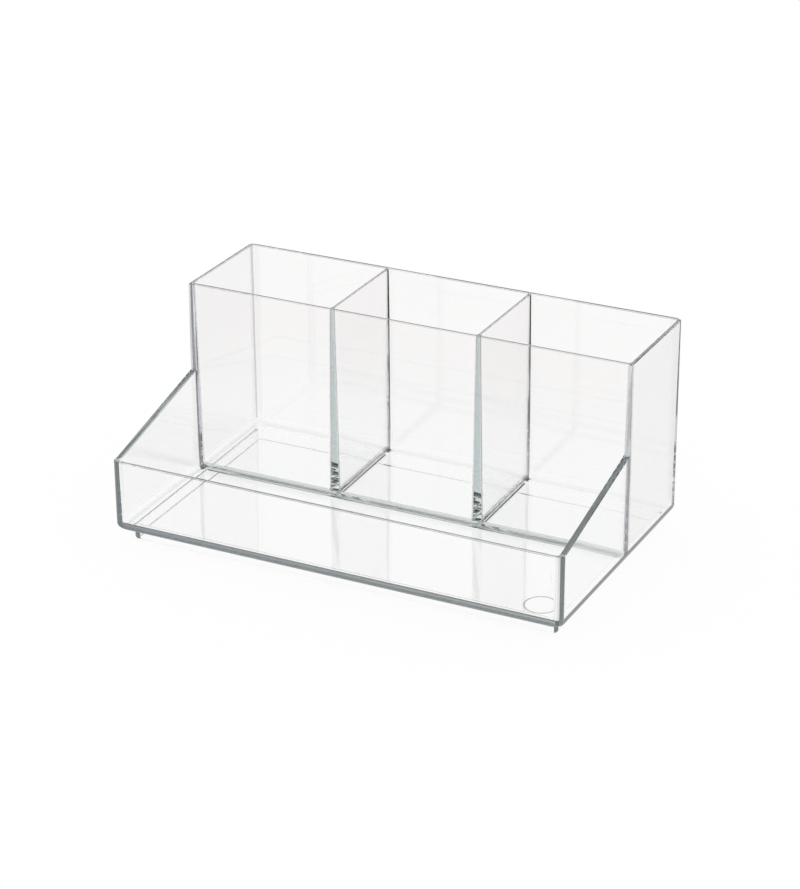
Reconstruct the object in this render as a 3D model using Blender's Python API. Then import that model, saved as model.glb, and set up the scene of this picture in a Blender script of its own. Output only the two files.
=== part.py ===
"""A clear makeup organizer: three tall compartments behind a low open tray, on a shallow stacking rim.

Width runs along X, depth along Y with the tray's lip towards -Y, and height along Z. The origin is under
the middle of the organizer, on the surface that it stands on. Lengths are in metres. The walls are those of
one moulding: each is thinnest at its rim and grows towards the floor by the mould's draft.
"""

import math
from functools import partial

import bmesh
import bpy

# Outer size
width = 0.236
depth = 0.140
body_height = 0.101
rim_foot_height = 0.0065

# The low tray in front of the compartments
tray_depth = 0.0773
lip_height = 0.037
shoulder_height = 0.055

# Walls and floor
rim_wall = 0.0020
divider_wall = 0.0015
floor_thickness = 0.0022
draft_share = 0.0145
compartment_count = 3

# Rounds, and how far the floor's ridges rise past its fillets
corner_round = 0.0030
bottom_round = 0.0035
floor_fillet = 0.0016
fillet_margin = 0.0019
inner_round = 0.0012
rim_round = 0.00035

# The stacking rim under the floor
foot_side_inset = 0.0056
foot_front_inset = 0.0070
foot_wall = 0.0024
foot_corner_round = 0.0030
foot_edge_round = 0.0014

# Shallow recesses in the underside: a round mark near a front corner, and a gate under each divider
mark_radius = 0.0079
mark_depth = 0.0003
mark_side_inset = 0.0175
mark_front_inset = 0.0180
gate_radius = 0.0032
gate_depth = 0.0009

# The gap at each face where two sub-parts meet, and how far a cutter reaches past what it cuts
seam = 0.00005
overrun = 0.001

# Facets of the rounds, and the angle between faces that shows as an edge
corner_steps = 6
edge_steps = 5
small_steps = 4
rim_steps = 2
circle_steps = 40
crease_degrees = 30

# The least upward part of a level face's normal, and the most of an upright one's
level_normal = 0.7
upright_normal = 0.2

# Clear polystyrene: the tints are those that its edges show
wall_tint = (0.92, 0.95, 0.94)
floor_tint = (0.93, 0.96, 0.95)
divider_tint = (0.90, 0.94, 0.93)
foot_tint = (0.90, 0.93, 0.93)
polished = 0.03
moulded = 0.05
polystyrene_ior = 1.58
preview_alpha = 0.4

# Levels and planes that the sizes above give
half_width = width / 2
front_y = -depth / 2
back_y = depth / 2
under_z = rim_foot_height
floor_z = under_z + floor_thickness
wall_z = floor_z + floor_fillet + fillet_margin
lip_z = under_z + lip_height
shoulder_z = under_z + shoulder_height
rim_z = under_z + body_height
screen_y = front_y + tray_depth


def drafted(rim_thickness, top_z, z, faces=1):
    """A wall's thickness at height z: its rim's thickness and the draft of its drafted faces."""
    return rim_thickness + faces * draft_share * max(top_z - z, 0)


def side_inner_x(z):
    return half_width - drafted(rim_wall, rim_z, z)


def back_inner_y(z):
    return back_y - drafted(rim_wall, rim_z, z)


def lip_inner_y(z):
    return front_y + drafted(rim_wall, lip_z, z)


def screen_front_y(z):
    """The front face of the wall behind the tray, which leans forward towards the floor."""
    return screen_y - draft_share * (rim_z - z)


def screen_back_y(z):
    return screen_y + rim_wall + draft_share * (rim_z - z)


def divider_half(z):
    return drafted(divider_wall, rim_z, z, faces=2) / 2


butt_x = side_inner_x(wall_z) - 2 * inner_round
clear_width = width - 2 * rim_wall - (compartment_count - 1) * divider_wall
divider_pitch = clear_width / compartment_count + divider_wall
divider_xs = [(i - (compartment_count - 2) / 2) * divider_pitch for i in range(compartment_count - 1)]
side_names = {-1: "left", 1: "right"}
foot_outer_x = half_width - foot_side_inset
foot_outer_y = depth / 2 - foot_front_inset
foot_inner_x = foot_outer_x - foot_wall
foot_inner_y = foot_outer_y - foot_wall
foot_butt_x = foot_inner_x - 2 * inner_round


def clear_plastic(name, tint, roughness):
    material = bpy.data.materials.new("clear_" + name)
    material.use_nodes = True
    shader = material.node_tree.nodes["Principled BSDF"]
    shader.inputs["Base Color"].default_value = (*tint, 1)
    shader.inputs["Metallic"].default_value = 0
    shader.inputs["Roughness"].default_value = roughness
    shader.inputs["IOR"].default_value = polystyrene_ior
    shader.inputs["Transmission Weight"].default_value = 1
    material.diffuse_color = (*tint, preview_alpha)
    return material


def arc(centre_x, centre_y, radius, start_degrees, end_degrees, steps):
    """Points along an arc, with both of its ends."""
    points = []
    for i in range(steps + 1):
        angle = math.radians(start_degrees + (end_degrees - start_degrees) * i / steps)
        points.append((centre_x + radius * math.cos(angle), centre_y + radius * math.sin(angle)))
    return points


def mirrored(outline):
    """The outline on the other side of the middle plane, still counter-clockwise."""
    return [(-x, y) for x, y in reversed(outline)]


def rounded_rectangle(x0, x1, y0, y1, radii, steps):
    """A counter-clockwise outline; the radii run from the front left corner round to the back left one."""
    front_left, front_right, back_right, back_left = radii
    return (
        arc(x0 + front_left, y0 + front_left, front_left, 180, 270, steps)
        + arc(x1 - front_right, y0 + front_right, front_right, 270, 360, steps)
        + arc(x1 - back_right, y1 - back_right, back_right, 0, 90, steps)
        + arc(x0 + back_left, y1 - back_left, back_left, 90, 180, steps)
    )


def quarter_round(radius, steps):
    """(inset, rise) pairs of a quarter round that starts flat and ends upright."""
    angles = [math.radians(90 * i / steps) for i in range(steps + 1)]
    return [(radius * (1 - math.sin(a)), radius * (1 - math.cos(a))) for a in angles]


def add_object(name, bm, material=None):
    mesh = bpy.data.meshes.new(name)
    bmesh.ops.recalc_face_normals(bm, faces=bm.faces)
    bm.to_mesh(mesh)
    bm.free()
    mesh.shade_smooth()
    mesh.set_sharp_from_angle(angle=math.radians(crease_degrees))
    if material:
        mesh.materials.append(material)
    obj = bpy.data.objects.new(name, mesh)
    bpy.context.scene.collection.objects.link(obj)
    return obj


def loft(sections):
    """A closed solid through (height, outline) sections that have as many points each, lowest first."""
    bm = bmesh.new()
    rings = [[bm.verts.new((x, y, z)) for x, y in outline] for z, outline in sections]
    count = len(rings[0])
    for low, high in zip(rings, rings[1:]):
        for i in range(count):
            j = (i + 1) % count
            bm.faces.new((low[i], low[j], high[j], high[i]))
    bm.faces.new(list(reversed(rings[0])))
    bm.faces.new(rings[-1])
    return bm


def round_rim(bm, keeps_sharp):
    """Rounds the edges where level faces meet upright ones, except where keeps_sharp(face) is true."""
    bm.normal_update()
    chosen = []
    for edge in bm.edges:
        ups = [face for face in edge.link_faces if face.normal.z > level_normal]
        walls = [face for face in edge.link_faces if abs(face.normal.z) < upright_normal]
        if len(ups) == 1 and len(walls) == 1 and not keeps_sharp(walls[0]):
            chosen.append(edge)
    bmesh.ops.bevel(bm, geom=chosen, offset=rim_round, segments=rim_steps, affect="EDGES")


def cutter(name, bm):
    obj = add_object(name, bm)
    obj.hide_render = True
    obj.display_type = "WIRE"
    return obj


def cut(obj, tool):
    modifier = obj.modifiers.new("cut_" + tool.name, "BOOLEAN")
    modifier.operation = "DIFFERENCE"
    modifier.solver = "EXACT"
    modifier.object = tool


def apply_modifiers(obj):
    """Makes the object's evaluated shape its own mesh, so that its rims can be rounded."""
    graph = bpy.context.evaluated_depsgraph_get()
    mesh = bpy.data.meshes.new_from_object(obj.evaluated_get(graph))
    obj.modifiers.clear()
    obj.data = mesh


def pocket(name, sides_at, radii):
    """A cutter for one hollow of the floor: flat below, with a fillet up to its drafted walls."""
    sections = []
    for inset, rise in quarter_round(floor_fillet, edge_steps) + [(0, wall_z - floor_z + overrun)]:
        x0, x1, y0, y1 = sides_at(floor_z + rise)
        insets = [radius + inset for radius in radii]
        outline = rounded_rectangle(x0 + inset, x1 - inset, y0 + inset, y1 - inset, insets, small_steps)
        sections.append((floor_z + rise, outline))
    return cutter(name, loft(sections))


def disc(name, x, y, radius, z0, z1):
    outline = arc(x, y, radius, 0, 360, circle_steps)[:-1]
    return cutter(name, loft([(z0, outline), (z1, outline)]))


def tray_sides(z):
    """(left, right, front, back) inner faces of the tray at height z."""
    return -side_inner_x(z), side_inner_x(z), lip_inner_y(z), screen_front_y(z)


def compartment_sides(index, z):
    """(left, right, front, back) inner faces of a compartment, counted from the left, at height z."""
    left = divider_xs[index - 1] + divider_half(z) if index > 0 else -side_inner_x(z)
    right = divider_xs[index] - divider_half(z) if index < len(divider_xs) else side_inner_x(z)
    return left, right, screen_back_y(z), back_inner_y(z)


def make_tray_floor():
    """The floor with its rounded outer edge, its hollows, and the ridges that the walls stand on."""
    sections = []
    for inset, rise in quarter_round(bottom_round, edge_steps):
        outline = rounded_rectangle(
            -half_width + inset,
            half_width - inset,
            front_y + inset,
            back_y - inset,
            [corner_round + inset] * 4,
            corner_steps,
        )
        sections.append((under_z + rise, outline))
    sections.append((wall_z, sections[-1][1]))
    floor = add_object("tray_floor", loft(sections), clear_plastic("tray_floor", floor_tint, polished))
    cut(floor, pocket("tray_pocket", tray_sides, [inner_round, inner_round, seam, seam]))
    for i in range(compartment_count):
        cut(floor, pocket(f"compartment_pocket_{i}", partial(compartment_sides, i), [inner_round] * 4))
    mark_x = half_width - mark_side_inset
    mark_y = front_y + mark_front_inset
    cut(floor, disc("mark_recess", mark_x, mark_y, mark_radius, under_z - overrun, under_z + mark_depth))
    gate_y = (screen_front_y(wall_z) + screen_back_y(wall_z)) / 2
    for i, x in enumerate(divider_xs):
        gate = disc(f"gate_recess_{i}", x, gate_y, gate_radius, under_z - overrun, under_z + gate_depth)
        cut(floor, gate)
    return floor


def wrapped_outline(outer, inner, end_x, outer_round):
    """The right-hand side of a frame in plan, whose two corners turn as far as end_x, counter-clockwise.

    outer and inner are each (x, front y, back y).
    """
    x, front, back = outer
    inner_x, inner_front, inner_back = inner
    turn_x = inner_x - inner_round
    return (
        [(end_x, front)]
        + arc(x - outer_round, front + outer_round, outer_round, 270, 360, corner_steps)
        + arc(x - outer_round, back - outer_round, outer_round, 0, 90, corner_steps)
        + [(end_x, back), (end_x, inner_back)]
        + arc(turn_x, inner_back - inner_round, inner_round, 90, 0, small_steps)
        + arc(turn_x, inner_front + inner_round, inner_round, 0, -90, small_steps)
        + [(end_x, inner_front)]
    )


def side_wall_outline(z):
    outer = (half_width, front_y, back_y)
    inner = (side_inner_x(z), lip_inner_y(z), back_inner_y(z))
    return wrapped_outline(outer, inner, butt_x, corner_round)


def slope_cutter(side):
    """Takes away what lies above the lip and the slope to the shoulder, in front of the compartments."""
    slope_start_y = lip_inner_y(lip_z) + 2 * inner_round
    profile = [
        (front_y - overrun, lip_z),
        (slope_start_y, lip_z),
        (screen_front_y(shoulder_z), shoulder_z),
        (screen_front_y(rim_z + overrun), rim_z + overrun),
        (front_y - overrun, rim_z + overrun),
    ]
    bm = bmesh.new()
    ends = []
    for x in (butt_x - overrun, half_width + overrun):
        ends.append([bm.verts.new((side * x, y, z)) for y, z in profile])
    for i in range(len(profile)):
        j = (i + 1) % len(profile)
        bm.faces.new((ends[0][i], ends[0][j], ends[1][j], ends[1][i]))
    bm.faces.new(ends[0])
    bm.faces.new(ends[1])
    return cutter("slope_" + side_names[side], bm)


def make_side_wall(side):
    """A side that turns both outer corners: full height beside the compartments, sloping to the lip."""

    def butts(face):
        return all(abs(vert.co.x) < butt_x + seam for vert in face.verts)

    sections = [(z, side_wall_outline(z)) for z in (wall_z + seam, lip_z, rim_z)]
    if side < 0:
        sections = [(z, mirrored(outline)) for z, outline in sections]
    name = "side_wall_" + side_names[side]
    wall = add_object(name, loft(sections), clear_plastic(name, wall_tint, polished))
    cut(wall, slope_cutter(side))
    apply_modifiers(wall)
    bm = bmesh.new()
    bm.from_mesh(wall.data)
    round_rim(bm, butts)
    bm.to_mesh(wall.data)
    bm.free()
    return wall


def rectangle(x0, x1, y0, y1):
    return [(x0, y0), (x1, y0), (x1, y1), (x0, y1)]


def make_panel(name, sections, tint, run):
    """A wall that runs along X (0) or Y (1), with rounded long rim edges and flat butting ends."""
    bm = loft(sections)
    round_rim(bm, lambda face: abs(face.normal[run]) > level_normal)
    return add_object(name, bm, clear_plastic(name, tint, polished))


def make_front_lip():
    end_x = butt_x - seam
    sections = [(z, rectangle(-end_x, end_x, front_y, lip_inner_y(z))) for z in (wall_z + seam, lip_z)]
    return make_panel("front_lip", sections, wall_tint, 0)


def make_back_wall():
    end_x = butt_x - seam
    sections = [(z, rectangle(-end_x, end_x, back_inner_y(z), back_y)) for z in (wall_z + seam, rim_z)]
    return make_panel("back_wall", sections, wall_tint, 0)


def screen_outline(z):
    """The wall behind the tray, with a round at each back corner where it meets a side wall."""
    end_x = side_inner_x(z) - seam
    back = screen_back_y(z)
    return (
        [(-end_x, screen_front_y(z)), (end_x, screen_front_y(z))]
        + arc(end_x - inner_round, back + inner_round, inner_round, 0, -90, small_steps)
        + arc(-end_x + inner_round, back + inner_round, inner_round, -90, -180, small_steps)
    )


def make_compartment_wall():
    sections = [(z, screen_outline(z)) for z in (wall_z + seam, rim_z)]
    return make_panel("compartment_wall", sections, wall_tint, 0)


def divider_outline(x, z):
    """A divider in plan, with a round at each corner where it meets the walls before and behind it."""
    turn_x = divider_half(z) + inner_round
    front_turn_y = screen_back_y(z) + seam + inner_round
    back_turn_y = back_inner_y(z) - seam - inner_round
    return (
        arc(x + turn_x, front_turn_y, inner_round, 270, 180, small_steps)
        + arc(x + turn_x, back_turn_y, inner_round, 180, 90, small_steps)
        + arc(x - turn_x, back_turn_y, inner_round, 90, 0, small_steps)
        + arc(x - turn_x, front_turn_y, inner_round, 0, -90, small_steps)
    )


def make_divider(index, x):
    sections = [(z, divider_outline(x, z)) for z in (wall_z + seam, rim_z)]
    return make_panel(f"divider_{index + 1}", sections, divider_tint, 1)


def foot_levels():
    """(height, inset) pairs up the outer face of the stacking rim, whose lower edge is rounded."""
    rounded = [(rise, inset) for inset, rise in quarter_round(foot_edge_round, small_steps)]
    return rounded + [(under_z - seam, 0)]


def foot_side_outline(inset):
    """The right-hand side of the stacking rim, its outer face drawn in by inset."""
    y = foot_outer_y - inset
    outer = (foot_outer_x - inset, -y, y)
    inner = (foot_inner_x, -foot_inner_y, foot_inner_y)
    return wrapped_outline(outer, inner, foot_butt_x, foot_corner_round - inset)


def make_foot_rail_side(side):
    sections = [(z, foot_side_outline(inset)) for z, inset in foot_levels()]
    if side < 0:
        sections = [(z, mirrored(outline)) for z, outline in sections]
    name = "foot_rail_" + side_names[side]
    return add_object(name, loft(sections), clear_plastic(name, foot_tint, moulded))


def make_foot_rail_across(name, side):
    """The front (-1) or back (1) run of the stacking rim, between the two side rails."""
    end_x = foot_butt_x - seam
    sections = []
    for z, inset in foot_levels():
        near, far = sorted((side * (foot_outer_y - inset), side * foot_inner_y))
        sections.append((z, rectangle(-end_x, end_x, near, far)))
    return add_object(name, loft(sections), clear_plastic(name, foot_tint, moulded))


def main():
    for obj in list(bpy.data.objects):
        bpy.data.objects.remove(obj)
    organizer = bpy.data.objects.new("organizer", None)
    bpy.context.scene.collection.objects.link(organizer)
    pieces = [make_tray_floor(), make_front_lip(), make_back_wall(), make_compartment_wall()]
    pieces += [make_side_wall(side) for side in side_names]
    pieces += [make_divider(i, x) for i, x in enumerate(divider_xs)]
    pieces += [make_foot_rail_side(side) for side in side_names]
    pieces += [make_foot_rail_across("foot_rail_front", -1), make_foot_rail_across("foot_rail_back", 1)]
    for piece in pieces:
        piece.parent = organizer


main()
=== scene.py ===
"""The looks of a clear makeup organizer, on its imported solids: one clear moulding on a white sweep."""

import math

import bpy
from mathutils import Matrix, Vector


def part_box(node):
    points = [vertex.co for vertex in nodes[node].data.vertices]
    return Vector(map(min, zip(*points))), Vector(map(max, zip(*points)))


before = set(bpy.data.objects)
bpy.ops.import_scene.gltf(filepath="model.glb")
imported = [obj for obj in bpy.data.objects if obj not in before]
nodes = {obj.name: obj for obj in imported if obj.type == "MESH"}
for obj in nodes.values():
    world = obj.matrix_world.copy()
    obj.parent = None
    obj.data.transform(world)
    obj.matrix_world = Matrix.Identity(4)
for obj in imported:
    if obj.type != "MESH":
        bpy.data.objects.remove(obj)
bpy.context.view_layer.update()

# Planes of the moulding, in metres, from the boxes of its solids
half_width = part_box("tray_floor")[1].x
half_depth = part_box("tray_floor")[1].y
under_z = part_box("tray_floor")[0].z
wall_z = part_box("tray_floor")[1].z
lip_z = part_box("front_lip")[1].z
rim_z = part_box("back_wall")[1].z
butt_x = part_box("front_lip")[1].x
foot_butt_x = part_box("foot_rail_front")[1].x
foot_half_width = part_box("foot_rail_right")[1].x
foot_half_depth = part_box("foot_rail_right")[1].y
divider_x = (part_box("divider_2")[0].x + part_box("divider_2")[1].x) / 2

# Sizes that the boxes don't give. The screen is the wall between the tray and the compartments
rim_wall = 0.0020
divider_wall = 0.0015
foot_wall = 0.0024
draft = 0.0145
corner_round = 0.0030
bottom_round = 0.0035
inner_round = 0.0012
foot_round = 0.0030
floor_z = 0.0087
shoulder_z = 0.0615
screen_y = 0.0073
side_x = half_width - rim_wall
mark_x, mark_y, mark_radius = 0.1005, -0.0520, 0.0079

# Rounded rectangles about the middle: (half width, half depth, corner radius)
skin_depth = 0.0006
side_skin, front_skin = 0.0030, 0.0024
skin_box = (half_width - skin_depth, half_depth - skin_depth, corner_round)
hollow_box = (half_width - side_skin, half_depth - front_skin, corner_round)
foot_box = (foot_half_width, foot_half_depth, foot_round)
foot_inner_box = (foot_half_width - foot_wall, foot_half_depth - foot_wall, inner_round)
foot_skin_box = (foot_half_width - skin_depth, foot_half_depth - skin_depth, foot_round)

# How near to a plane a point on it lies, and how much of a normal points the way that a face looks
near, rather_near = 0.0001, 0.0002
flat_facing = 0.9
slope_facing, level_facing = 0.93, 0.985

# How far the painted shade and the painted highlight on the edges reach
left_reach = 0.0012
side_share = 0.42
base_side_reach = 0.0016
band_z, band_line = 0.0117, 0.0007
end_reach, end_margin = 0.0010, 0.0010
joint_reach = 0.0006
foot_joint_reach, foot_joint_z = 0.0012, 0.032
stripe_reach = 0.0016
wall_foot_reach = 0.0012
back_line_reach = 0.0010
mark_line, mark_height = 0.0005, 0.0006

# Painted shade on the edges: grey base colours that stand in for the dark that long light paths and inner
# reflections give clear plastic there, and one painted highlight: (colour, how solid it looks)
rim_painted_shade = (0.30, 0.31, 0.32), 0.50
lip_painted_shade = (0.31, 0.315, 0.32), 0.65
slope_painted_shade = (0.27, 0.31, 0.315), 0.60
band_painted_shade_left, band_painted_shade_right, band_solid = (0.17, 0.20, 0.21), (0.28, 0.305, 0.30), 0.80
band_line_painted_shade = (0.125, 0.150, 0.160), 0.85
bottom_painted_shade = (0.165, 0.195, 0.205), 0.75
base_side_painted_shade = (0.085, 0.100, 0.104), 0.85
corner_painted_shade = (0.115, 0.143, 0.155), 0.80
# Painted highlight: a light grey on the front part of the rounds of the right corners
right_corner_painted_highlight = (0.90, 0.91, 0.92), 0.70
side_painted_shade = (0.190, 0.225, 0.225), 0.75
stub_painted_shade = (0.17, 0.185, 0.19), 0.75
end_painted_shade = (0.78, 0.79, 0.79), 0.60
near_end_painted_shade = (0.80, 0.80, 0.82), 0.75
near_end_line_painted_shade = (0.27, 0.27, 0.30), 0.75
foot_joint_painted_shade = (0.66, 0.66, 0.67), 0.60
joint_painted_shade = (0.40, 0.40, 0.43), 0.70
stripe_painted_shade = (0.33, 0.33, 0.37), 0.65
wall_foot_painted_shade = (0.66, 0.72, 0.71), 0.28
mark_painted_shade = (0.45, 0.47, 0.47), 0.25
back_line_painted_shade = (0.60, 0.60, 0.63), 0.22

# Painted shade on the light that crosses the screen's ends and the dividers' fronts: faint tints
clear = (1.0, 1.0, 1.0)
end_seam_painted_shade = (0.90, 0.90, 0.92)
divider_seam_painted_shade = (0.87, 0.90, 0.90)

# Painted shade on the walls, for the way the light falls: faint tints that darken them from low to high, the
# left side most, and on the right side from front to back
along_y, along_z = 1, 2
tint_low_z, tint_high_z = 0.020, 0.095
across_high_shade = (0.975, 0.965, 0.962)
left_low_shade, left_high_shade = (0.975, 0.965, 0.965), (0.930, 0.922, 0.922)
divider_high_shade = (0.955, 0.945, 0.945)
tint_front_y, tint_back_y = -0.005, 0.015
right_front_shade, right_back_shade = (0.995, 0.995, 0.995), (0.915, 0.905, 0.905)

# Clear polystyrene, with the waves and the polish that its mould leaves
polystyrene_ior = 1.58
plain_gloss, high_gloss = 0.5, 1.0
depth_tint = (0.18, 0.29, 0.28)
wall_density, base_density = 7, 2
wave_scale, wave_detail, wave_height = 45, 1, 0.00004
polish_scale, polish_detail, dullest = 120, 3, 0.03
polish_low, polish_high = 0.3, 0.7

# How the facets of the rounds are joined: what counts as one point, as a corner and as a large face
weld_distance = 0.000001
crease_degrees = 50
large_face_weight = 100

# The studio: a white room and sweep. Reflections show a grey ceiling and a dark card behind on the right
white = (1.0, 1.0, 1.0)
sweep_size = 6
sweep_glow = 0.95
ceiling_soft, ceiling_full = 0.55, 0.75
ceiling_grey = (0.6, 0.6, 0.6)
card_turn = 0.47
card_side_soft, card_side_full = 0.906, 0.961
card_foot_soft, card_foot_full = 0.18, 0.28
card_grey = (0.05, 0.05, 0.05)

# The camera, with its angles in radians
camera_place = (0.557559, -1.097809, 0.614616)
camera_azimuth, camera_elevation, camera_roll = 0.46859, 0.43209, -0.00726
camera_lens = 113.866


class Sums:
    """Math on what a shader reads, one node for each step. A condition is 1 where it holds, and else 0."""

    def __init__(self, tree):
        self.tree = tree

    def node(self, operation, *values):
        made = self.tree.nodes.new("ShaderNodeMath")
        made.operation = operation
        for socket, value in zip(made.inputs, values):
            if isinstance(value, (int, float)):
                socket.default_value = value
            else:
                self.tree.links.new(value, socket)
        return made.outputs[0]

    def add(self, a, b):
        return self.node("ADD", a, b)

    def minus(self, a, b):
        return self.node("SUBTRACT", a, b)

    def times(self, a, b):
        return self.node("MULTIPLY", a, b)

    def size(self, a):
        return self.node("ABSOLUTE", a)

    def length(self, a, b):
        return self.node("SQRT", self.add(self.times(a, a), self.times(b, b)))

    def below(self, a, limit):
        return self.node("LESS_THAN", a, limit)

    def above(self, a, limit):
        return self.node("GREATER_THAN", a, limit)

    def between(self, a, low, high):
        return self.times(self.above(a, low), self.below(a, high))

    def close(self, a, value, tolerance=near):
        return self.node("COMPARE", a, value, tolerance)

    def no(self, condition):
        return self.minus(1, condition)

    def all_of(self, *conditions):
        total = conditions[0]
        for condition in conditions[1:]:
            total = self.times(total, condition)
        return total

    def any_of(self, *conditions):
        total = conditions[0]
        for condition in conditions[1:]:
            total = self.node("MAXIMUM", total, condition)
        return total


class Point(Sums):
    """Sums on the point that is shaded: where it lies on the organizer, and how the surface faces there."""

    def __init__(self, tree, normal):
        super().__init__(tree)
        place = tree.nodes.new("ShaderNodeTexCoord")
        self.x, self.y, self.z = parts_of(tree, place.outputs["Object"])
        self.from_middle_x, self.from_middle_y = self.size(self.x), self.size(self.y)
        geometry = tree.nodes.new("ShaderNodeNewGeometry")
        facing = parts_of(tree, geometry.outputs[normal])
        self.facing_x, self.facing_y, self.facing_z = [self.size(part) for part in facing]
        self.seen_from_inside = geometry.outputs["Backfacing"]

        # Where a drafted face would have the point at the rim: a side's inner face, a front and a back face
        self.drop = self.times(self.minus(rim_z, self.z), draft)
        self.side_rim_x = self.add(self.from_middle_x, self.drop)
        self.front_rim_y = self.add(self.y, self.drop)
        self.back_rim_y = self.minus(self.y, self.drop)

    def inside(self, box):
        """Within a rounded rectangle about the middle, given as (half width, half depth, corner radius)."""
        half_x, half_y, radius = box
        over_x = self.node("MAXIMUM", self.add(self.from_middle_x, radius - half_x), 0)
        over_y = self.node("MAXIMUM", self.add(self.from_middle_y, radius - half_y), 0)
        reach = self.add(self.times(over_x, over_x), self.times(over_y, over_y))
        return self.below(reach, radius * radius)


def parts_of(tree, vector):
    """The x, y and z of a vector."""
    parts = tree.nodes.new("ShaderNodeSeparateXYZ")
    tree.links.new(vector, parts.inputs[0])
    return parts.outputs


def ramp(tree, value, start, end, curve="SMOOTHSTEP"):
    """0 up to start, 1 from end on, and between them along the curve."""
    made = tree.nodes.new("ShaderNodeMapRange")
    made.interpolation_type = curve
    made.inputs["From Min"].default_value = start
    made.inputs["From Max"].default_value = end
    tree.links.new(value, made.inputs["Value"])
    return made.outputs[0]


def blend(tree, share, plain, tinted):
    """The plain colour, and the tinted one where share is 1."""
    mix = tree.nodes.new("ShaderNodeMix")
    mix.data_type = "RGBA"
    tree.links.new(share, mix.inputs[0])
    for socket, colour in ((mix.inputs[6], plain), (mix.inputs[7], tinted)):
        if isinstance(colour, tuple):
            socket.default_value = (*colour, 1)
        else:
            tree.links.new(colour, socket)
    return mix.outputs[2]


def inner_seams(tree):
    """(all, screen ends, divider fronts): the faces where solids of the one moulding meet."""
    at = Point(tree, "True Normal")
    rail_tops = at.all_of(at.close(at.z, under_z), at.inside(foot_box), at.no(at.inside(foot_inner_box)))
    level = at.all_of(at.above(at.facing_z, flat_facing), at.any_of(at.close(at.z, wall_z), rail_tops))
    butts = at.any_of(
        at.all_of(at.close(at.from_middle_x, butt_x), at.above(at.z, under_z)),
        at.all_of(at.close(at.from_middle_x, foot_butt_x), at.below(at.z, under_z)),
    )
    screen_ends = at.all_of(
        at.close(at.side_rim_x, side_x),
        at.above(at.front_rim_y, screen_y),
        at.below(at.back_rim_y, screen_y + rim_wall + inner_round),
    )
    upright = at.all_of(at.above(at.facing_x, flat_facing), at.any_of(butts, screen_ends))
    past_divider = at.minus(at.size(at.minus(at.from_middle_x, divider_x)), at.drop)
    divider_ends = at.all_of(
        at.above(at.facing_y, flat_facing),
        at.below(past_divider, divider_wall / 2 + inner_round),
        at.above(at.z, wall_z - near),
    )
    divider_fronts = at.all_of(divider_ends, at.close(at.back_rim_y, screen_y + rim_wall))
    divider_backs = at.all_of(divider_ends, at.close(at.front_rim_y, half_depth - rim_wall))
    every = at.any_of(level, upright, divider_fronts, divider_backs)
    return every, screen_ends, at.all_of(divider_fronts, at.below(past_divider, divider_wall / 2))


def top_edges(at):
    """Painted shade on the rims of the walls, the rim of the lip, and the slopes between them."""
    level = at.above(at.facing_z, level_facing)
    rim = at.all_of(level, at.above(at.z, rim_z - near))
    lip = at.all_of(level, at.close(at.z, lip_z), at.below(at.y, 0))
    slope = at.all_of(
        at.between(at.facing_z, slope_facing, level_facing), at.between(at.z, lip_z + near, shoulder_z)
    )
    return [(rim, *rim_painted_shade), (lip, *lip_painted_shade), (slope, *slope_painted_shade)]


def base_edges(at):
    """Painted shade on the upright band along the front and the back of the floor, darker to the left, and on
    the round under it, darker still at the sides.
    """
    band = at.all_of(
        at.above(at.from_middle_y, half_depth - near),
        at.between(at.z, under_z + bottom_round - near, band_z),
    )
    band_top = at.all_of(band, at.above(at.z, band_z - band_line))
    from_left = ramp(at.tree, at.x, -half_width, half_width, "LINEAR")
    band_painted_shade = blend(at.tree, from_left, band_painted_shade_left, band_painted_shade_right)
    outer = at.all_of(at.no(at.inside(hollow_box)), at.above(at.z, under_z + rather_near))
    bottom = at.all_of(outer, at.below(at.z, under_z + bottom_round))
    base_side = at.all_of(
        outer,
        at.above(at.from_middle_x, half_width - side_skin),
        at.below(at.z, under_z + bottom_round + base_side_reach),
    )
    return [
        (band, band_painted_shade, band_solid),
        (band_top, *band_line_painted_shade),
        (bottom, *bottom_painted_shade),
        (base_side, *base_side_painted_shade),
    ]


def corner_edges(at):
    """Painted shade on the upright rounds at the corners of the body and on those of the stacking rim, and a
    painted highlight on the front part of the right corners.
    """
    in_front, behind = at.below(at.y, 0), at.above(at.y, 0)
    corner = at.all_of(
        at.above(at.from_middle_y, half_depth - corner_round),
        at.any_of(at.below(at.z, lip_z - near), behind),
        at.above(at.z, under_z),
        at.no(at.inside(skin_box)),
    )
    left_corner = at.all_of(corner, in_front, at.below(at.x, -half_width + corner_round + left_reach))
    right_corner = at.all_of(corner, at.above(at.x, half_width - corner_round), at.above(at.z, band_z))
    right_side = at.all_of(corner, at.above(at.x, half_width - side_share * corner_round))
    back_left_side = at.all_of(corner, behind, at.below(at.x, -half_width + side_share * corner_round))
    stub = at.all_of(
        at.any_of(
            at.below(at.x, -foot_half_width + foot_round + left_reach),
            at.above(at.x, foot_half_width - side_share * foot_round),
        ),
        at.above(at.from_middle_y, foot_half_depth - foot_round),
        at.below(at.z, under_z - near),
        at.no(at.inside(foot_skin_box)),
    )
    return [
        (left_corner, *corner_painted_shade),
        (right_corner, *right_corner_painted_highlight),
        (right_side, *side_painted_shade),
        (back_left_side, *side_painted_shade),
        (stub, *stub_painted_shade),
    ]


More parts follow.
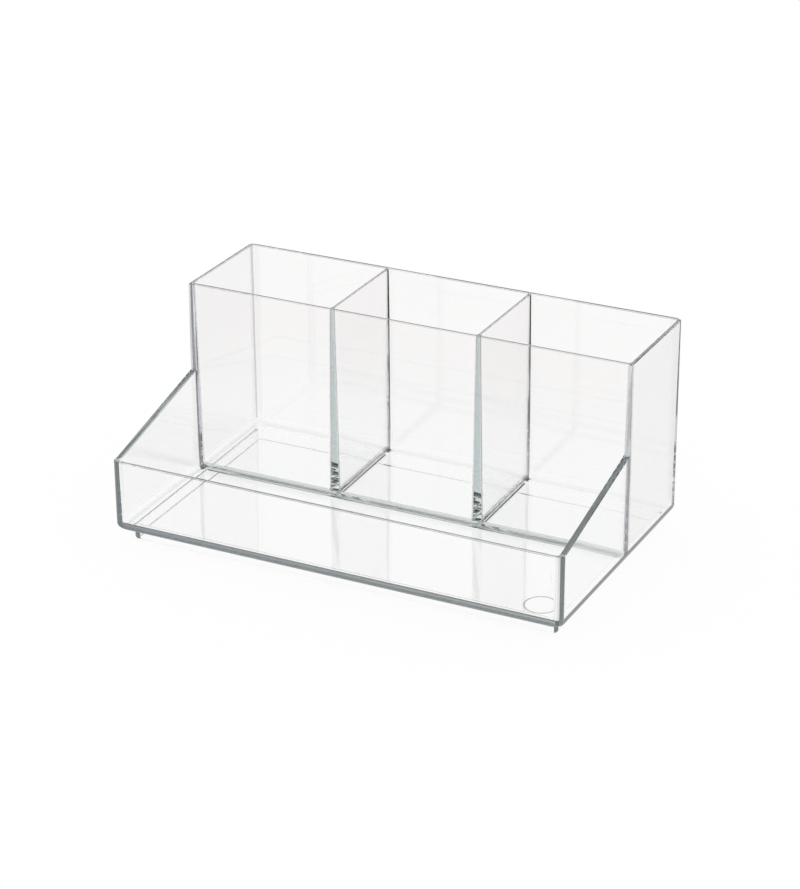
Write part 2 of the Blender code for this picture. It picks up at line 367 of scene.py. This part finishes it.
def screen_edges(at):
    """Painted shade on the wall between tray and compartments, where it ends, meets the sides and stands on
    the floor, and on the sides' outer faces where it meets them.
    """
    left = at.below(at.x, 0)
    past_side = at.above(at.side_rim_x, side_x)
    on_screen = at.close(at.front_rim_y, screen_y, rather_near)
    tall_front = at.all_of(at.above(at.facing_y, flat_facing), on_screen, at.above(at.z, shoulder_z))
    end = at.all_of(tall_front, past_side)
    near_end = at.all_of(tall_front, left, at.above(at.side_rim_x, side_x - end_reach))
    near_end_line = at.all_of(near_end, past_side, at.below(at.from_middle_x, half_width - end_margin))
    foot_joint = at.all_of(
        on_screen,
        left,
        at.above(at.side_rim_x, side_x - foot_joint_reach),
        at.between(at.z, wall_z, foot_joint_z),
    )
    joint_on_screen = at.all_of(on_screen, at.above(at.side_rim_x, side_x - joint_reach))
    joint_on_side = at.all_of(
        at.close(at.side_rim_x, side_x, rather_near),
        at.between(at.front_rim_y, screen_y - joint_reach, screen_y + near),
    )
    joint = at.all_of(at.any_of(joint_on_screen, joint_on_side), at.between(at.z, wall_z, shoulder_z))
    stripe = at.all_of(
        at.above(at.from_middle_x, half_width - rather_near),
        at.between(at.front_rim_y, screen_y - stripe_reach, screen_y + stripe_reach),
        at.between(at.z, wall_z - near, shoulder_z),
    )
    wall_foot = at.all_of(
        at.between(at.front_rim_y, screen_y - wall_foot_reach, screen_y + near),
        at.between(at.z, floor_z + near, wall_z + near),
        at.below(at.from_middle_x, half_width - side_skin),
    )
    return [
        (end, *end_painted_shade),
        (near_end, *near_end_painted_shade),
        (near_end_line, *near_end_line_painted_shade),
        (foot_joint, *foot_joint_painted_shade),
        (joint, *joint_painted_shade),
        (stripe, *stripe_painted_shade),
        (wall_foot, *wall_foot_painted_shade),
    ]


def mark_outline(at):
    """Painted shade on the edge of the round recess under the tray, which shows from both sides."""
    from_mark = at.length(at.minus(at.x, mark_x), at.minus(at.y, mark_y))
    return at.all_of(
        at.close(from_mark, mark_radius, mark_line), at.between(at.z, under_z - near, under_z + mark_height)
    )


def back_corner_line(at):
    """Painted shade on the round at the back left corner, seen from inside, where it shows as a faint line
    through the plastic.
    """
    return at.all_of(
        at.seen_from_inside,
        at.below(at.x, -half_width + back_line_reach),
        at.above(at.y, half_depth - corner_round),
        at.no(at.inside(skin_box)),
        at.above(at.z, under_z + bottom_round),
    )


def edge_shares(tree):
    """The parts of the surface on the moulding's edges that take painted shade, and on the right corners a
    painted highlight, each as (condition, colour, how solid).
    """
    at = Point(tree, "Normal")
    seen_from_outside = at.no(at.seen_from_inside)
    edges = top_edges(at) + base_edges(at) + corner_edges(at) + screen_edges(at)
    shares = [(at.times(edge, seen_from_outside), grey, solid) for edge, grey, solid in edges]
    return shares + [(mark_outline(at), *mark_painted_shade), (back_corner_line(at), *back_line_painted_shade)]


def paint_edge_shading(tree, shader, plain):
    """The plastic is plain and clear on its faces. Its edges take painted shade, and the right corners a
    painted highlight: a grey base colour, partly solid, in place of the dark and the light that light paths
    give clear plastic there.
    """
    sums = Sums(tree)
    colour, clearness = plain, 1.0
    for share, grey, solid in edge_shares(tree):
        colour = blend(tree, share, colour, grey)
        clearness = sums.add(sums.times(clearness, sums.no(share)), sums.times(share, 1 - solid))
    tree.links.new(colour, shader.inputs["Base Color"])
    tree.links.new(clearness, shader.inputs["Transmission Weight"])


def painted_shade_ramp(tree, shade_ramp):
    """Painted shade that goes from one colour to another along an axis: (axis, start, end, first, last)."""
    axis, start, end, first, last = shade_ramp
    place = tree.nodes.new("ShaderNodeTexCoord")
    parts = parts_of(tree, place.outputs["Object"])
    return blend(tree, ramp(tree, parts[axis], start, end), first, last)


def mould_noise(tree, scale, detail):
    place = tree.nodes.new("ShaderNodeTexCoord")
    noise = tree.nodes.new("ShaderNodeTexNoise")
    noise.inputs["Scale"].default_value = scale
    noise.inputs["Detail"].default_value = detail
    tree.links.new(place.outputs["Object"], noise.inputs["Vector"])
    return noise.outputs[0]


def moulded_skin(tree, shader):
    """The faint waves and the small changes of polish that a mould leaves in clear plastic."""
    bump = tree.nodes.new("ShaderNodeBump")
    bump.inputs["Strength"].default_value = 1
    bump.inputs["Distance"].default_value = wave_height
    tree.links.new(mould_noise(tree, wave_scale, wave_detail), bump.inputs["Height"])
    tree.links.new(bump.outputs[0], shader.inputs["Normal"])
    cloud = mould_noise(tree, polish_scale, polish_detail)
    dullness = Sums(tree).times(ramp(tree, cloud, polish_low, polish_high, "LINEAR"), dullest)
    tree.links.new(dullness, shader.inputs["Roughness"])


def clear_plastic(name, shade_ramp, density, gloss):
    """Clear plastic with painted shade on its edges, and on its faces a painted shade that grades along an
    axis. Light goes straight through where two solids of the moulding meet, with a faint painted shade at the
    screen's ends and the dividers' fronts.
    """
    material = bpy.data.materials.new(name)
    material.use_nodes = True
    tree = material.node_tree
    shader = tree.nodes["Principled BSDF"]
    shader.inputs["IOR"].default_value = polystyrene_ior
    shader.inputs["Specular IOR Level"].default_value = gloss
    paint_edge_shading(tree, shader, painted_shade_ramp(tree, shade_ramp))
    moulded_skin(tree, shader)

    absorption = tree.nodes.new("ShaderNodeVolumeAbsorption")
    absorption.inputs["Color"].default_value = (*depth_tint, 1)
    absorption.inputs["Density"].default_value = density

    seams, screen_ends, divider_fronts = inner_seams(tree)
    # Painted shade on the light through the seams at the screen's ends and the dividers' fronts
    shade = blend(tree, divider_fronts, blend(tree, screen_ends, clear, end_seam_painted_shade), divider_seam_painted_shade)
    through = tree.nodes.new("ShaderNodeBsdfTransparent")
    tree.links.new(shade, through.inputs["Color"])
    surface = tree.nodes.new("ShaderNodeMixShader")
    tree.links.new(seams, surface.inputs[0])
    tree.links.new(shader.outputs[0], surface.inputs[1])
    tree.links.new(through.outputs[0], surface.inputs[2])

    output = tree.nodes["Material Output"]
    tree.links.new(surface.outputs[0], output.inputs["Surface"])
    tree.links.new(absorption.outputs[0], output.inputs["Volume"])
    return material


def smooth_rounds():
    """A modifier group that joins a solid's facets: its rounds shade smoothly and its corners stay sharp."""
    group = bpy.data.node_groups.new("smooth_rounds", "GeometryNodeTree")
    group.interface.new_socket("Geometry", in_out="INPUT", socket_type="NodeSocketGeometry")
    group.interface.new_socket("Geometry", in_out="OUTPUT", socket_type="NodeSocketGeometry")
    source = group.nodes.new("NodeGroupInput")
    weld = group.nodes.new("GeometryNodeMergeByDistance")
    weld.inputs["Distance"].default_value = weld_distance
    angle = group.nodes.new("GeometryNodeInputMeshEdgeAngle")
    crease = group.nodes.new("ShaderNodeMath")
    crease.operation = "GREATER_THAN"
    crease.inputs[1].default_value = math.radians(crease_degrees)
    normals = group.nodes.new("GeometryNodeSetMeshNormal")
    result = group.nodes.new("NodeGroupOutput")
    group.links.new(source.outputs[0], weld.inputs["Geometry"])
    group.links.new(weld.outputs[0], normals.inputs["Mesh"])
    group.links.new(angle.outputs["Unsigned Angle"], crease.inputs[0])
    group.links.new(crease.outputs[0], normals.inputs["Edge Sharpness"])
    group.links.new(normals.outputs[0], result.inputs[0])
    return group


def smooth(node, group):
    joined = node.modifiers.new("smooth_rounds", "NODES")
    joined.node_group = group
    flat = node.modifiers.new("flat_stays_flat", "WEIGHTED_NORMAL")
    flat.mode = "FACE_AREA"
    flat.weight = large_face_weight
    flat.keep_sharp = True


def make_camera():
    data = bpy.data.cameras.new("camera")
    data.sensor_width = 36
    data.lens = camera_lens
    data.clip_start = 0.01
    data.clip_end = 50
    camera = bpy.data.objects.new("camera", data)
    bpy.context.scene.collection.objects.link(camera)
    turn = Matrix.Rotation(camera_azimuth, 4, "Z")
    tilt = Matrix.Rotation(math.pi / 2 - camera_elevation, 4, "X")
    roll = Matrix.Rotation(camera_roll, 4, "Z")
    camera.matrix_world = Matrix.Translation(camera_place) @ turn @ tilt @ roll
    bpy.context.scene.camera = camera


def make_world():
    """A white room, whose grey ceiling and dark card show only in reflections and through the plastic."""
    world = bpy.data.worlds.new("studio")
    bpy.context.scene.world = world
    world.use_nodes = True
    tree = world.node_tree
    sums = Sums(tree)
    place = tree.nodes.new("ShaderNodeTexCoord")
    x, y, z = parts_of(tree, place.outputs["Generated"])
    path = tree.nodes.new("ShaderNodeLightPath")
    by_plastic = sums.any_of(path.outputs["Is Glossy Ray"], path.outputs["Is Transmission Ray"])
    ceiling = sums.times(ramp(tree, z, ceiling_soft, ceiling_full), by_plastic)
    room = blend(tree, ceiling, white, ceiling_grey)
    along = sums.add(sums.times(x, math.sin(card_turn)), sums.times(y, math.cos(card_turn)))
    towards = sums.node("DIVIDE", along, sums.length(x, y))
    card = sums.all_of(
        ramp(tree, towards, card_side_soft, card_side_full),
        ramp(tree, z, card_foot_soft, card_foot_full),
        by_plastic,
    )
    background = tree.nodes["Background"]
    background.inputs["Strength"].default_value = 1
    tree.links.new(blend(tree, card, room, card_grey), background.inputs["Color"])


def make_floor():
    """A white sweep that keeps the organizer's shadow, and is white to the camera and through the plastic."""
    bpy.ops.mesh.primitive_plane_add(size=sweep_size, location=(0, 0, 0))
    floor = bpy.context.object
    floor.name = "floor"
    material = bpy.data.materials.new("white_sweep")
    material.use_nodes = True
    tree = material.node_tree
    shader = tree.nodes["Principled BSDF"]
    shader.inputs["Base Color"].default_value = (*white, 1)
    shader.inputs["Roughness"].default_value = 1
    shader.inputs["Specular IOR Level"].default_value = 0
    glow = tree.nodes.new("ShaderNodeEmission")
    glow.inputs["Color"].default_value = (*white, 1)
    glow.inputs["Strength"].default_value = 1
    path = tree.nodes.new("ShaderNodeLightPath")
    sums = Sums(tree)
    seen = sums.any_of(
        path.outputs["Is Camera Ray"], path.outputs["Is Glossy Ray"], path.outputs["Is Transmission Ray"]
    )
    surface = tree.nodes.new("ShaderNodeMixShader")
    tree.links.new(sums.times(seen, sweep_glow), surface.inputs[0])
    tree.links.new(shader.outputs[0], surface.inputs[1])
    tree.links.new(glow.outputs[0], surface.inputs[2])
    tree.links.new(surface.outputs[0], tree.nodes["Material Output"].inputs["Surface"])
    floor.data.materials.append(material)


make_camera()
make_world()
make_floor()

# Copies of one clear plastic that differ in painted shade: the walls across and the dividers darker towards
# the top, the left side darker still, the right side darker towards the back, the base without it; and in
# gloss and absorption density
upwards = (along_z, tint_low_z, tint_high_z)
backwards = (along_y, tint_front_y, tint_back_y)
across = clear_plastic("clear_walls_across", (*upwards, clear, across_high_shade), wall_density, plain_gloss)
left_side = clear_plastic("clear_left_side", (*upwards, left_low_shade, left_high_shade), wall_density, high_gloss)
right_shade_ramp = (*backwards, right_front_shade, right_back_shade)
right_side = clear_plastic("clear_right_side", right_shade_ramp, wall_density, plain_gloss)
dividers = clear_plastic("clear_dividers", (*upwards, clear, divider_high_shade), wall_density, high_gloss)
base = clear_plastic("clear_base", (*upwards, clear, clear), base_density, high_gloss)
finishes = {
    "tray_floor": base,
    "front_lip": base,
    "back_wall": across,
    "compartment_wall": across,
    "side_wall_left": left_side,
    "side_wall_right": right_side,
    "divider_1": dividers,
    "divider_2": dividers,
    "foot_rail_front": base,
    "foot_rail_back": base,
    "foot_rail_left": base,
    "foot_rail_right": base,
}
rounds = smooth_rounds()
for name, finish in finishes.items():
    nodes[name].data.materials.clear()
    nodes[name].data.materials.append(finish)
    smooth(nodes[name], rounds)

cycles = bpy.context.scene.cycles
cycles.max_bounces = 32
cycles.transmission_bounces = 32
cycles.glossy_bounces = 16
cycles.transparent_max_bounces = 64

view = bpy.context.scene.view_settings
view.view_transform = "Standard"
